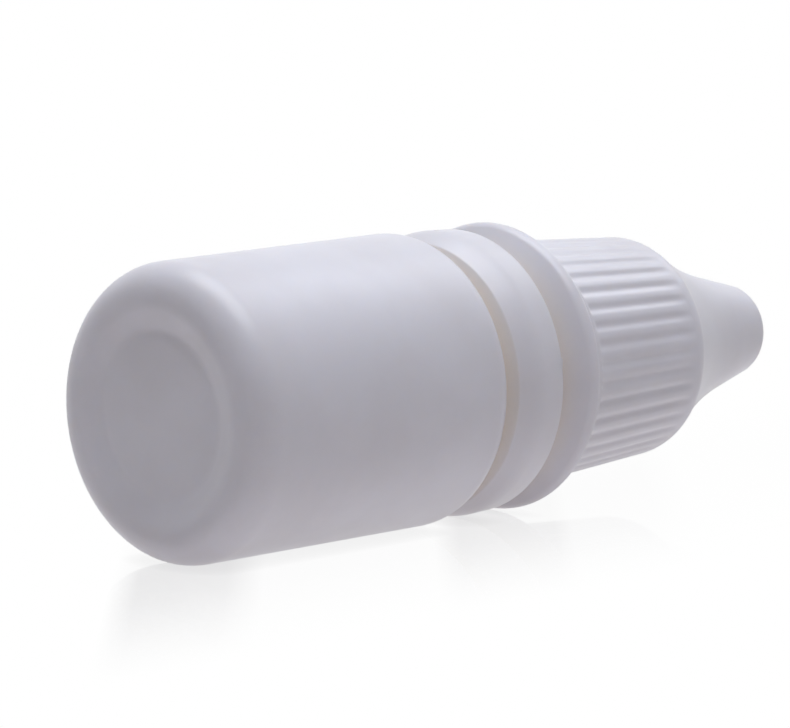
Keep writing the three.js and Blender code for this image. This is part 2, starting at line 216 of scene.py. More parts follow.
def colour_mix(tree, share, first, second):
    """Colour that goes from the first to the second as the share rises from 0 to 1. The node's colour sockets
    have the same names as its sockets for numbers, so they go by their places."""
    first_colour, second_colour, result_colour = 6, 7, 2
    node = tree.nodes.new("ShaderNodeMix")
    node.data_type = "RGBA"
    tree.links.new(share, node.inputs["Factor"])
    tree.links.new(first, node.inputs[first_colour])
    tree.links.new(second, node.inputs[second_colour])
    return node.outputs[result_colour]


def satin_skin_group():
    """Faint mottling, painted warm shade in grooves and crevices, rubbed patches and fine peel of a moulded
    skin, as a colour, a roughness and a height."""
    group = bpy.data.node_groups.new("satin_skin", "ShaderNodeTree")
    for name, kind in (("Tint", "NodeSocketColor"), ("Shade", "NodeSocketColor"), ("Groove", "NodeSocketColor"),
                       ("Satin", "NodeSocketFloat"), ("Rubbed", "NodeSocketFloat"),
                       ("Peel Size", "NodeSocketFloat")):
        group.interface.new_socket(name, in_out="INPUT", socket_type=kind)
    for name, kind in (("Color", "NodeSocketColor"), ("Roughness", "NodeSocketFloat"),
                       ("Height", "NodeSocketFloat")):
        group.interface.new_socket(name, in_out="OUTPUT", socket_type=kind)
    nodes = group.nodes
    given = nodes.new("NodeGroupInput")
    made = nodes.new("NodeGroupOutput")
    place = nodes.new("ShaderNodeTexCoord")

    mottle = nodes.new("ShaderNodeTexNoise")
    mottle.inputs["Scale"].default_value = 110
    mottle.inputs["Detail"].default_value = 4
    link(group, place, "Object", mottle, "Vector")
    mottle_share = stretched(group, mottle.outputs["Fac"], low=0.38, high=0.66)
    mottled = colour_mix(group, mottle_share, given.outputs["Tint"], given.outputs["Shade"])
    # Painted shade: in grooves and crevices, where the ambient occlusion finds little open sky, the colour
    # turns to the crevice shade colour, standing in for the warm, dim light there.
    open_sky = nodes.new("ShaderNodeAmbientOcclusion")
    open_sky.samples = 8
    open_sky.inputs["Distance"].default_value = 3 * MM
    crevice_shade_share = stretched(group, open_sky.outputs["AO"], low=0.9, high=0.35)
    crevice_shaded = colour_mix(group, crevice_shade_share, mottled, given.outputs["Groove"])
    group.links.new(crevice_shaded, made.inputs["Color"])

    rub = nodes.new("ShaderNodeTexNoise")
    rub.inputs["Scale"].default_value = 420
    rub.inputs["Detail"].default_value = 6
    rub.inputs["Roughness"].default_value = 0.7
    link(group, place, "Object", rub, "Vector")
    rough = nodes.new("ShaderNodeMath")
    rough.operation = "MULTIPLY_ADD"
    group.links.new(stretched(group, rub.outputs["Fac"], low=0.45, high=0.75), rough.inputs[0])
    link(group, given, "Rubbed", rough, 1)
    link(group, given, "Satin", rough, 2)
    link(group, rough, "Value", made, "Roughness")

    peel = nodes.new("ShaderNodeTexNoise")
    peel.inputs["Detail"].default_value = 3
    link(group, place, "Object", peel, "Vector")
    fineness = nodes.new("ShaderNodeMath")
    fineness.operation = "DIVIDE"
    fineness.inputs[0].default_value = 1
    link(group, given, "Peel Size", fineness, 1)
    link(group, fineness, "Value", peel, "Scale")
    link(group, peel, "Fac", made, "Height")
    return group


satin_skin = satin_skin_group()


def moulded_plastic(name, tint, shade, crevice_shade, satin=0.34, rubbed=0.1, peel_size=0.5 * MM,
                    peel_depth=0.006 * MM, glow=0.25, glow_reach=1.2 * MM):
    """Moulded plastic with a satin skin and painted shade in its crevices, in which a share of the light
    wanders below the surface.
    """
    material = bpy.data.materials.new(name)
    material.use_nodes = True
    tree = material.node_tree
    shader = tree.nodes["Principled BSDF"]
    shader.inputs["IOR"].default_value = 1.5
    shader.inputs["Specular IOR Level"].default_value = 0.5
    shader.inputs["Subsurface Weight"].default_value = glow
    shader.inputs["Subsurface Radius"].default_value = (1, 0.8, 0.62)
    shader.inputs["Subsurface Scale"].default_value = glow_reach
    skin = tree.nodes.new("ShaderNodeGroup")
    skin.node_tree = satin_skin
    for socket, value in (("Tint", tint), ("Shade", shade), ("Groove", crevice_shade), ("Satin", satin),
                          ("Rubbed", rubbed), ("Peel Size", peel_size)):
        skin.inputs[socket].default_value = value
    bump = tree.nodes.new("ShaderNodeBump")
    bump.inputs["Distance"].default_value = peel_depth
    link(tree, skin, "Color", shader, "Base Color")
    link(tree, skin, "Roughness", shader, "Roughness")
    link(tree, skin, "Height", bump, "Height")
    link(tree, bump, "Normal", shader, "Normal")
    return material


bottle = turned("bottle_shell", rounded([
    (0, panel_depth, 0),
    (panel_radius, panel_depth, panel_round),
    (standing_radius, 0, standing_round),
    (body_radius, 0, heel_round),
    (body_radius, body_height, shoulder_round),
    (neck_radius, neck_foot, 2 * small_round),
    (neck_radius, bead_bottom, small_round),
    (bead_radius, bead_bottom, small_round),
    (bead_radius, bead_top, 2 * small_round),
    (neck_radius, bead_top + bead_lead, 2 * small_round),
    (neck_radius, neck_top, 2 * small_round),
    (neck_bore, neck_top, small_round),
    (neck_bore, neck_foot - body_wall, 2 * small_round),
    (body_radius - body_wall, body_height - body_wall, shoulder_round),
    (body_radius - body_wall, panel_depth + body_wall, inner_heel_round),
    (0, panel_depth + body_wall, 0),
], steps=12), columns=224)
moulded_on(bottle, screw_thread(neck_radius, thread_height, neck_thread_bottom, neck_thread_turns))
bottle.data.materials.append(moulded_plastic("bottle_polyethylene", bottle_tint, bottle_shade, bottle_crevice_shade))
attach(bottle, "vial")
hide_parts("bottle")

# Powder chamber
# Tube that keeps the powder dry until use, injection-moulded in natural polypropylene. It hangs in the neck
# by the flange at its top, and its funnel end narrows to the mouth that the plug closes.
chamber_low, chamber_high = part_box("powder_chamber")
chamber_bore = 5 * MM
chamber_radius = 6.1 * MM
chamber_end_wall = 1 * MM
chamber_taper = 4.5 * MM
mouth_radius = 3.6 * MM
mouth_length = 3 * MM
funnel_length = 2 * MM
chamber_tint = (0.8, 0.8, 0.78, 1)
chamber_shade = (0.76, 0.755, 0.725, 1)
# Painted shade: the warmer, dimmer colour the chamber's crevices take on.
chamber_crevice_shade = (0.76, 0.74, 0.69, 1)

chamber = turned("powder_tube", rounded([
    (mouth_radius, chamber_low.z, small_round),
    (mouth_radius + chamber_end_wall, chamber_low.z, 2 * small_round),
    (chamber_radius, chamber_low.z + chamber_taper, small_round),
    (chamber_radius, neck_top, 0),
    (neck_radius, neck_top, small_round),
    (neck_radius, chamber_high.z, 2 * small_round),
    (chamber_bore, chamber_high.z, 2 * small_round),
    (chamber_bore, chamber_low.z + mouth_length + funnel_length, 2 * small_round),
    (mouth_radius, chamber_low.z + mouth_length, small_round),
]), columns=128, loop=True)
chamber.data.materials.append(moulded_plastic(
    "chamber_polypropylene", chamber_tint, chamber_shade, chamber_crevice_shade, glow=0.4, glow_reach=1.6 * MM))
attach(chamber, "vial")
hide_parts("powder_chamber")

# Chamber plug
# Stopper in the powder chamber's mouth, moulded in grey elastomer with two sealing bands and a dished top.
# The plunger's stem pushes it out, and it falls into the liquid below.
plug_low, plug_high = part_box("chamber_plug")
plug_radius = 3.55 * MM
plug_flange_radius = 4.5 * MM
plug_flange = 0.9 * MM
plug_chamfer = 0.45 * MM
plug_band = 0.68 * MM
plug_waist = 0.25 * MM
plug_dish_radius = 1.9 * MM
plug_dish = 0.4 * MM
plug_foot = chamber_low.z
plug_tint = (0.48, 0.5, 0.54, 1)
plug_shade = (0.41, 0.425, 0.46, 1)
# Painted shade: the darker grey the plug's crevices take on.
plug_crevice_shade = (0.36, 0.365, 0.38, 1)

plug = turned("plug_body", rounded([
    (0, plug_low.z, 0),
    (plug_flange_radius - plug_chamfer, plug_low.z, 2 * small_round),
    (plug_flange_radius, plug_low.z + plug_chamfer, small_round),
    (plug_flange_radius, plug_low.z + plug_flange, small_round),
    (plug_radius, plug_low.z + plug_flange, 0),
    (plug_radius, plug_foot + plug_band, 2 * small_round),
    (plug_radius - plug_waist, plug_foot + 2 * plug_band, 2 * small_round),
    (plug_radius, plug_foot + 3 * plug_band, 2 * small_round),
    (plug_radius - plug_waist, plug_high.z, small_round),
    (plug_dish_radius, plug_high.z, small_round),
    (0, plug_high.z - plug_dish, 0),
]), columns=112)
plug.data.materials.append(moulded_plastic(
    "plug_elastomer", plug_tint, plug_shade, plug_crevice_shade, satin=0.62, peel_size=0.3 * MM,
    peel_depth=0.01 * MM, glow=0.05))
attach(plug, "plug")
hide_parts("chamber_plug")

# Plunger
# Hollow push rod, injection-moulded in ivory polypropylene. Its slotted stem stands above the plug, its piston
# closes the powder chamber, and the cap presses on its wide shoulder.
plunger_low, plunger_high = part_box("plunger")
plunger_bore = 1 * MM
stem_radius = 1.9 * MM
slot_width = 0.9 * MM
slot_height = 2.2 * MM
piston_bottom = 43.5 * MM
piston_top = 46.5 * MM
piston_radius = 4.85 * MM
groove_radius = 3.94 * MM
groove_half = 0.65 * MM
seal_height = (piston_bottom + piston_top) / 2
rod_radius = 3.3 * MM
shoulder_bottom = 53 * MM
shoulder_top = 54 * MM
shoulder_radius = 6.2 * MM
spigot_radius = 2.4 * MM
plunger_tint = (0.86, 0.85, 0.81, 1)
plunger_shade = (0.82, 0.8, 0.745, 1)
# Painted shade: the warmer, dimmer colour the plunger's crevices take on.
plunger_crevice_shade = (0.8, 0.765, 0.69, 1)


def cut(piece, cutter):
    """Takes the cutter's shape out of a piece for good."""
    boolean = piece.modifiers.new("cut", "BOOLEAN")
    boolean.operation = "DIFFERENCE"
    boolean.object = cutter
    evaluated = piece.evaluated_get(bpy.context.evaluated_depsgraph_get())
    whole = bpy.data.meshes.new_from_object(evaluated)
    piece.modifiers.clear()
    piece.data = whole
    bpy.data.objects.remove(cutter)


def slot_cutter(turn):
    """Bar across the stem's end, with its upper edges rounded over."""
    reach = stem_radius + slot_width
    foot = plunger_low.z - slot_width
    head = plunger_low.z + slot_height
    half = slot_width / 2
    arc_steps = 8
    across = [Vector((-half, foot)), Vector((half, foot))]
    for step in range(arc_steps + 1):
        angle = math.pi * step / arc_steps
        across.append(Vector((half * math.cos(angle), head - half + half * math.sin(angle))))
    form = swept([[(end, point.x, point.y) for point in across] for end in (-reach, reach)])
    form.transform(Matrix.Rotation(turn, 4, "Z"))
    mesh = bpy.data.meshes.new("slot_cutter")
    form.to_mesh(mesh)
    form.free()
    cutter = bpy.data.objects.new("slot_cutter", mesh)
    bpy.context.scene.collection.objects.link(cutter)
    return cutter


plunger = turned("plunger_rod", rounded([
    (plunger_bore, plunger_low.z, small_round),
    (stem_radius, plunger_low.z, 2 * small_round),
    (stem_radius, piston_bottom, 2 * small_round),
    (piston_radius, piston_bottom, small_round),
    (piston_radius, seal_height - groove_half, small_round),
    (groove_radius, seal_height - groove_half, small_round),
    (groove_radius, seal_height + groove_half, small_round),
    (piston_radius, seal_height + groove_half, small_round),
    (piston_radius, piston_top, small_round),
    (rod_radius, piston_top, 2 * small_round),
    (rod_radius, shoulder_bottom, 2 * small_round),
    (shoulder_radius, shoulder_bottom, 2 * small_round),
    (shoulder_radius, shoulder_top, 2 * small_round),
    (spigot_radius, shoulder_top, small_round),
    (spigot_radius, plunger_high.z, 2 * small_round),
    (plunger_bore, plunger_high.z, small_round),
]), columns=112, loop=True)
cut(plunger, slot_cutter(0))
cut(plunger, slot_cutter(math.pi / 2))
plunger.data.materials.append(moulded_plastic(
    "plunger_polypropylene", plunger_tint, plunger_shade, plunger_crevice_shade, glow=0.3))
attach(plunger, "plunger")
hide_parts("plunger")

# Plunger seal
# Ring of grey silicone cord in the piston's groove. It wipes the powder chamber's bore and keeps it dry.
seal_cord = 0.5 * MM
seal_centre = 4.47 * MM
seal_corners = 28
seal_tint = (0.4, 0.42, 0.46, 1)
seal_shade = (0.33, 0.35, 0.385, 1)
# Painted shade: the darker grey the seal's crevices take on.
seal_crevice_shade = (0.29, 0.3, 0.32, 1)

seal_section = []
for corner in range(seal_corners):
    angle = math.tau * corner / seal_corners
    seal_section.append(Vector((seal_centre + seal_cord * math.cos(angle),
                                seal_height + seal_cord * math.sin(angle))))
seal = turned("seal_cord", seal_section, columns=112, loop=True)
seal.data.materials.append(moulded_plastic(
    "seal_silicone", seal_tint, seal_shade, seal_crevice_shade, satin=0.5, peel_size=0.2 * MM,
    peel_depth=0.005 * MM, glow=0.1))
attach(seal, "plunger")
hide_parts("plunger_seal")

# Dropper tip
# Drop nozzle of natural soft polyethylene, snapped over the plunger's spigot. Its bore narrows to the drop
# hole, and a small rounded lip round the hole lets the drop fall clean.
tip_low, tip_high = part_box("dropper_tip")
tip_radius = 3.6 * MM
tip_collar = 1.4 * MM
tip_end_radius = 1.75 * MM
tip_hole = 0.45 * MM
tip_lip = 0.35 * MM
tip_socket_radius = 2.45 * MM
tip_socket_end = 57.05 * MM
tip_tint = (0.81, 0.82, 0.83, 1)
tip_shade = (0.775, 0.78, 0.785, 1)
# Painted shade: the warmer, dimmer colour the tip's crevices take on.
tip_crevice_shade = (0.77, 0.76, 0.74, 1)

tip = turned("tip_nozzle", rounded([
    (tip_socket_radius, tip_low.z, small_round),
    (tip_radius, tip_low.z, 2 * small_round),
    (tip_radius, tip_low.z + tip_collar, 2 * small_round),
    (tip_end_radius, tip_high.z - tip_lip, 2 * small_round),
    (tip_end_radius - tip_lip, tip_high.z, 2 * small_round),
    (tip_hole, tip_high.z, small_round),
    (plunger_bore, tip_socket_end, 0),
    (tip_socket_radius, tip_socket_end, small_round),
]), columns=112, loop=True)
tip.data.materials.append(moulded_plastic(
    "tip_soft_polyethylene", tip_tint, tip_shade, tip_crevice_shade, satin=0.4, glow=0.45, glow_reach=1.5 * MM))
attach(tip, "plunger")
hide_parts("dropper_tip")

# Tear ring
# Tamper band of white polyethylene, moulded with the cap and snapped over the neck's bead. It has a conical
# lower face, a crisp upper edge with two gate nubs, and six thin bridges to the cap, torn at first use.
ring_low, ring_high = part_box("tear_ring")
ring_radius = ring_high.x
ring_top = 34.2 * MM
ring_draft = 0.12 * MM
ring_flank_width = 1.6 * MM
ring_flank_rise = 0.96 * MM
ring_flank_round = 0.35 * MM
ring_flare_width = 0.8 * MM
ring_flare_bend = 1.64 * MM
ring_flare_round = 3 * MM
ring_lip = 1.6 * MM
ring_lip_radius = 7.76 * MM
ring_bore = 9.1 * MM
bridge_count = 6
first_bridge = math.radians(35)
bridge_width = 0.8 * MM
bridge_depth = 0.5 * MM
bridge_inset = 0.05 * MM
bridge_sink = 0.2 * MM
bridge_narrowing = 0.6
bridge_skew = 0.12
nub_count = 2
first_nub = math.radians(36)
nub_inset = 0.25 * MM
nub_height = 0.3 * MM
nub_width = 1.3 * MM
nub_depth = 0.5 * MM
nub_narrowing = 0.55
nub_skew = 0.45
ring_tint = (0.78, 0.76, 0.815, 1)
ring_shade = (0.745, 0.72, 0.765, 1)
# Painted shade: the warm beige that the ring's grooves and gaps take on.
ring_crevice_shade = (0.9, 0.82, 0.74, 1)


def peg(foot, head, root_share, end_share, angle, radius, width, depth, skew):
    """Torn bridge or gate nub between two heights: a small peg with rounded corners and a slanting end, which
    tapers from a share of its width and depth at the root to another at the end."""
    corner_count = 16
    squareness = 0.6
    end_rounding = 0.82
    sections = []
    for share in (0, 0.35, 0.7, 0.9, 1):
        size = root_share + (end_share - root_share) * share
        if share == 1:
            size *= end_rounding
        section = []
        for corner in range(corner_count):
            turn = math.tau * corner / corner_count
            across = math.copysign(abs(math.cos(turn)) ** squareness, math.cos(turn)) * width / 2 * size
            out = math.copysign(abs(math.sin(turn)) ** squareness, math.sin(turn)) * depth / 2 * size
            lift = foot + (head - foot) * share * (1 - skew * (0.5 + across / width))
            section.append(Vector((radius + out, across, lift)))
        sections.append([Matrix.Rotation(angle, 3, "Z") @ place for place in section])
    return swept(sections)


flare_foot = ring_low.z + ring_flank_rise
flare_radius = ring_radius - ring_flare_width
ring = turned("ring_band", rounded([
    (ring_lip_radius, ring_low.z, 2 * small_round),
    (flare_radius - ring_flank_width, ring_low.z, 2 * small_round),
    (flare_radius, flare_foot, ring_flank_round),
    (ring_radius, flare_foot + ring_flare_bend, ring_flare_round),
    (ring_radius - ring_draft, ring_top, small_round),
    (ring_bore, ring_top, small_round),
    (ring_bore, ring_low.z + ring_lip, small_round),
    (ring_lip_radius, ring_low.z + ring_lip, small_round),
], steps=10), columns=224, loop=True)
bridge_radius = ring_bore + bridge_inset + bridge_depth / 2
for bridge in range(bridge_count):
    moulded_on(ring, peg(ring_top - bridge_sink, ring_high.z, 1, bridge_narrowing,
                         first_bridge + math.tau * bridge / bridge_count, bridge_radius,
                         bridge_width, bridge_depth, bridge_skew))
for nub in range(nub_count):
    moulded_on(ring, peg(ring_top - bridge_sink, ring_top + nub_height, 1, nub_narrowing,
                         first_nub + math.tau * nub / nub_count, ring_radius - ring_draft - nub_inset,
                         nub_width, nub_depth, nub_skew))
ring.data.materials.append(moulded_plastic("ring_polyethylene", ring_tint, ring_shade, ring_crevice_shade))
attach(ring, "ring")
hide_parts("tear_ring")

# Tip seal
# Soft pad of grey elastomer pressed into the end of the cap's nose. It closes the drop hole when the cap is on.
pad_low, pad_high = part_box("tip_seal")
pad_radius = 2.45 * MM
pad_chamfer = 0.48 * MM
pad_tint = (0.55, 0.57, 0.6, 1)
pad_shade = (0.48, 0.5, 0.53, 1)
# Painted shade: the darker grey the pad's crevices take on.
pad_crevice_shade = (0.42, 0.43, 0.45, 1)

pad = turned("pad_disc", rounded([
    (0, pad_low.z, 0),
    (tip_end_radius, pad_low.z, 2 * small_round),
    (pad_radius, pad_low.z + pad_chamfer, small_round),
    (pad_radius, pad_high.z, small_round),
    (0, pad_high.z, 0),
]), columns=96)
pad.data.materials.append(moulded_plastic(
    "pad_elastomer", pad_tint, pad_shade, pad_crevice_shade, satin=0.62, peel_size=0.3 * MM,
    peel_depth=0.01 * MM, glow=0.08))
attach(pad, "cap_pad")
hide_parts("tip_seal")

# Cap
# Screw cap of white polyethylene, moulded in one shot with the ring below it. It has a thin-rimmed flange with
# a conical underside, forty grip ribs, a thread inside, and a tall hollow nose over the dropper tip.
cap_low, cap_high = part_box("cap")
flange_radius = 11.91 * MM
flange_cone_width = 2.24 * MM
flange_rim_bottom = 37.6 * MM
flange_top = 38.5 * MM
flange_lower_edge = 1 * MM
flange_edge = 0.4 * MM
cap_radius = 10.29 * MM
cap_bore = 8.21 * MM
rib_start = 40.5 * MM
crown_start = 53.15 * MM
crown_top = 54.55 * MM
crown_radius = 9.33 * MM
crown_draw = 0.45 * MM
bore_top = 49.2 * MM
shoulder_room = 6.9 * MM
cap_ceiling = 54.1 * MM
nose_room = 5.2 * MM
nose_room_top = 57 * MM
nose_waist = 63.3 * MM
nose_slope = 0.26
nose_socket_top = 67.3 * MM
nose_top_radius = 4 * MM
nose_edge = 1.75 * MM
nose_wall = 1.5 * MM
pad_socket_radius = 2.5 * MM
pad_socket = 1.6 * MM
rib_count = 40
rib_phase = math.radians(-0.2)
rib_height = 0.16 * MM
rib_foot = 0.35 * MM
rib_head = 1.2 * MM
rib_foot_share = 0.08
groove_sharpness = 3
columns_per_rib = 16
nib_height = 0.12 * MM
nib_root = 1.25
nib_skew = -0.1
cap_thread_bottom = neck_thread_bottom + thread_pitch / 2
cap_thread_turns = 2.4
cap_tint = (0.775, 0.755, 0.815, 1)
cap_shade = (0.74, 0.715, 0.765, 1)
# Painted shade: the warm beige that the cap's gaps and rib valleys take on.
cap_crevice_shade = (0.9, 0.82, 0.74, 1)


def rib_relief(angle, point):
    """Depth of the groove beside the nearest rib, which has a rounded back. The grooves begin bluntly above the
    plain band and run out softly below the crown, where the wall is as high as the ribs."""
    if not rib_start < point.y < crown_start or point.x < crown_radius:
        return 0
    pitch = math.tau / rib_count
    aside = ((angle - rib_phase) / pitch + 0.5) % 1 - 0.5
    begun = min(1, (point.y - rib_start) / rib_foot)
    left = min(1, (crown_start - point.y) / rib_head)
    depth = rib_height * abs(math.sin(math.pi * aside)) ** groove_sharpness
    return -depth * math.sqrt(begun * (2 - begun)) * left * left * (3 - 2 * left)


def nose_radius(height):
    """Outside of the nose's cone, before its rounded end."""
    return nose_top_radius + nose_slope * (nose_socket_top - height)


def curve(start, bend, end, steps):
    """Points of a smooth bend from start to end that leaves and arrives along the lines to the bend point."""
    points = []
    for step in range(steps + 1):
        share = step / steps
        points.append(start * (1 - share) ** 2 + bend * 2 * share * (1 - share) + end * share ** 2)
    return points


def even(start, end, steps):
    """Points spread evenly from start to end, without the start."""
    return [start.lerp(end, step / steps) for step in range(1, steps + 1)]


flange_root = flange_radius - flange_cone_width
flange_outline = rounded([
    (flange_root, cap_low.z, 2 * small_round),
    (flange_radius, flange_rim_bottom, flange_lower_edge),
    (flange_radius, flange_top, flange_edge),
    (cap_radius, flange_top, flange_edge),
    (cap_radius, crown_start, 0),
    (cap_bore, cap_low.z, 0),
])[:-2]
plain_draw = (cap_radius - crown_radius) * (rib_start - flange_top) / (crown_start - flange_top)
plain_top = Vector((cap_radius - plain_draw, rib_start - small_round))
wall_top = Vector((crown_radius, crown_start))
foot_top = plain_top.lerp(wall_top, rib_foot_share)
crown_edge = Vector((crown_radius - crown_draw, crown_top))
bend_height = (crown_top + nose_waist) / 2
nose_end_height = cap_high.z - nose_edge
nose_end_radius = nose_radius(nose_end_height) - nose_edge * math.hypot(1, nose_slope)
lean = math.atan(nose_slope)
cap_outline = [
    *flange_outline,
    *even(flange_outline[-1], plain_top, steps=3),
    *even(plain_top, foot_top, steps=8),
    *even(foot_top, wall_top, steps=14),
    *curve(wall_top, Vector((crown_radius, crown_top - crown_draw)), crown_edge, steps=10)[1:],
    *curve(crown_edge, Vector((nose_radius(bend_height), bend_height)),
           Vector((nose_radius(nose_waist), nose_waist)), steps=24)[1:],
]
nose_edge_steps = 12
for step in range(nose_edge_steps + 1):
    angle = lean + (math.pi / 2 - lean) * step / nose_edge_steps
    cap_outline.append(Vector((nose_end_radius + nose_edge * math.cos(angle),
                               nose_end_height + nose_edge * math.sin(angle))))
cap_outline.append(Vector((0, cap_high.z)))
cap_hollow = rounded([
    (0, nose_socket_top, 0),
    (pad_socket_radius, nose_socket_top, small_round),
    (pad_socket_radius, nose_socket_top - pad_socket, small_round),
    (nose_radius(nose_waist) - nose_wall, nose_waist, small_round),
    (nose_room, nose_room_top, small_round),
    (nose_room, cap_ceiling, small_round),
    (shoulder_room, cap_ceiling, 2 * small_round),
    (shoulder_room, shoulder_bottom, 2 * small_round),
    (cap_bore, bore_top, 2 * small_round),
    (cap_bore, cap_low.z, 2 * small_round),
    (flange_root, cap_low.z, 0),
], steps=4)[:-1]
cap = turned("cap_shell", [*cap_hollow, *cap_outline], columns=rib_count * columns_per_rib,
             relief=rib_relief)
moulded_on(cap, screw_thread(cap_bore, -thread_height, cap_thread_bottom, cap_thread_turns))
for bridge in range(bridge_count):
    moulded_on(cap, peg(cap_low.z + bridge_sink, cap_low.z - nib_height, nib_root, bridge_narrowing,
                        first_bridge + math.tau * bridge / bridge_count, bridge_radius,
                        bridge_width, bridge_depth, nib_skew))
cap.data.materials.append(moulded_plastic("cap_polyethylene", cap_tint, cap_shade, cap_crevice_shade))
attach(cap, "cap")
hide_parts("cap")

# Floor
# Glossy white sheet, lit from below, that the vial lies on, on its side. It holds a fading mirror image of the
# vial, plain under the base and faint under the pale side, with the grooves and ribs just to be seen.
lying_up = Vector((1, -1, 0)).normalized()
lying_front = Vector((1, 1, 0)).normalized()
vial_axis = Vector((0, 0, 1))
floor_reach = 3
mirror_reach = 31 * MM
mirror_start = -10 * MM
mirror_end = 70 * MM
# Strength of the mirror at places along the vial, from the base to the nose.
mirror_shares = ((-4.5 * MM, 0), (-1.5 * MM, 0.7), (8 * MM, 0.7), (12 * MM, 0.13), (31 * MM, 0.13),
                 (34 * MM, 0.65), (45 * MM, 0.65), (47 * MM, 0.31), (57 * MM, 0.31), (62 * MM, 0.08))
mirror_blur = 0.05
floor_gap = 0.02 * MM
floor_shade_reach = 1.5 * MM
floor_shade_darkest = 0.9
card_colour = (0.5, 0.48, 0.475, 1)
table_colour = (1, 0.97, 1, 1)
table_level = 0.31


def white_sheet(name, corners):
    """Flat sheet of the stage, which throws no shadow."""
    mesh = bpy.data.meshes.new(name)
    mesh.from_pydata(corners, [], [(0, 1, 2, 3)])
    sheet = bpy.data.objects.new(name, mesh)
    sheet.visible_shadow = False
    bpy.context.scene.collection.objects.link(sheet)
    return sheet


def math_node(tree, operation, first, second):
    """Result of a sum on two sockets, or on a socket and a number."""
    node = tree.nodes.new("ShaderNodeMath")
    node.operation = operation
    for socket, value in zip(node.inputs, (first, second)):
        if isinstance(value, bpy.types.NodeSocket):
            tree.links.new(value, socket)
        else:
            socket.default_value = value
    return node.outputs["Value"]


def seen_rays(tree):
    """1 for the rays that show a background: those of the camera, of gloss and of clear pieces."""
    path = tree.nodes.new("ShaderNodeLightPath")
    shown = math_node(tree, "MAXIMUM", path.outputs["Is Camera Ray"], path.outputs["Is Glossy Ray"])
    return math_node(tree, "MAXIMUM", shown, path.outputs["Is Transmission Ray"])


def mixed(tree, share, first, second):
    """Shader that goes from the first to the second as the share rises from 0 to 1."""
    node = tree.nodes.new("ShaderNodeMixShader")
    tree.links.new(share, node.inputs["Fac"])
    tree.links.new(first, node.inputs[1])
    tree.links.new(second, node.inputs[2])
    return node.outputs["Shader"]


def contact_shade(tree, reach, darkest):
    """Strength of a white that dims close to the vial."""
    near = tree.nodes.new("ShaderNodeAmbientOcclusion")
    near.samples = 12
    near.inputs["Distance"].default_value = reach
    shade = tree.nodes.new("ShaderNodeMapRange")
    shade.inputs["To Min"].default_value = darkest
    link(tree, near, "AO", shade, "Value")
    return shade.outputs["Result"]


def distance_along(tree, place, direction):
    """How far a place lies along a direction."""
    node = tree.nodes.new("ShaderNodeVectorMath")
    node.operation = "DOT_PRODUCT"
    node.inputs[1].default_value = direction
    tree.links.new(place, node.inputs[0])
    return node.outputs["Value"]


floor_foot = -lying_up * (body_radius + floor_gap)
floor = white_sheet("floor", [floor_foot + lying_front * across * floor_reach + vial_axis * along * floor_reach
                              for across, along in ((1, -1), (1, 1), (-1, 1), (-1, -1))])
floor_paint = bpy.data.materials.new("floor_white")
floor_paint.use_nodes = True
tree = floor_paint.node_tree
tree.nodes.remove(tree.nodes["Principled BSDF"])
card = tree.nodes.new("ShaderNodeBsdfDiffuse")
card.inputs["Color"].default_value = card_colour
lit_from_below = tree.nodes.new("ShaderNodeEmission")
lit_from_below.inputs["Color"].default_value = table_colour
lit_from_below.inputs["Strength"].default_value = table_level
table = tree.nodes.new("ShaderNodeAddShader")
tree.links.new(card.outputs["BSDF"], table.inputs[0])
tree.links.new(lit_from_below.outputs["Emission"], table.inputs[1])
white = tree.nodes.new("ShaderNodeEmission")
tree.links.new(contact_shade(tree, floor_shade_reach, floor_shade_darkest), white.inputs["Strength"])
mirror = tree.nodes.new("ShaderNodeBsdfGlossy")
mirror.inputs["Roughness"].default_value = mirror_blur
spot = tree.nodes.new("ShaderNodeTexCoord")
aside = math_node(tree, "ABSOLUTE", distance_along(tree, spot.outputs["Object"], lying_front), 0)
fade = tree.nodes.new("ShaderNodeMapRange")
fade.interpolation_type = "SMOOTHSTEP"
fade.inputs["From Max"].default_value = mirror_reach
fade.inputs["To Min"].default_value = 1
fade.inputs["To Max"].default_value = 0
tree.links.new(aside, fade.inputs["Value"])
along = distance_along(tree, spot.outputs["Object"], vial_axis + lying_front)
along_shares = tree.nodes.new("ShaderNodeValToRGB")
while len(along_shares.color_ramp.elements) < len(mirror_shares):
    along_shares.color_ramp.elements.new(1)
for stop, (place, share) in zip(along_shares.color_ramp.elements, mirror_shares):
    stop.position = (place - mirror_start) / (mirror_end - mirror_start)
    stop.color = (share, share, share, 1)
tree.links.new(stretched(tree, along, mirror_start, mirror_end), along_shares.inputs["Fac"])
low_angle = tree.nodes.new("ShaderNodeFresnel")
low_angle.inputs["IOR"].default_value = 1.5
mirror_share = math_node(tree, "MULTIPLY", fade.outputs["Result"], along_shares.outputs["Color"])
mirror_amount = math_node(tree, "MULTIPLY", mirror_share, low_angle.outputs["Fac"])
polished = mixed(tree, mirror_amount, white.outputs["Emission"], mirror.outputs["BSDF"])
sheet_look = mixed(tree, seen_rays(tree), table.outputs["Shader"], polished)
clear = tree.nodes.new("ShaderNodeBsdfTransparent")
facing = tree.nodes.new("ShaderNodeNewGeometry")
floor_look = mixed(tree, facing.outputs["Backfacing"], sheet_look, clear.outputs["BSDF"])
tree.links.new(floor_look, tree.nodes["Material Output"].inputs["Surface"])
floor.data.materials.append(floor_paint)

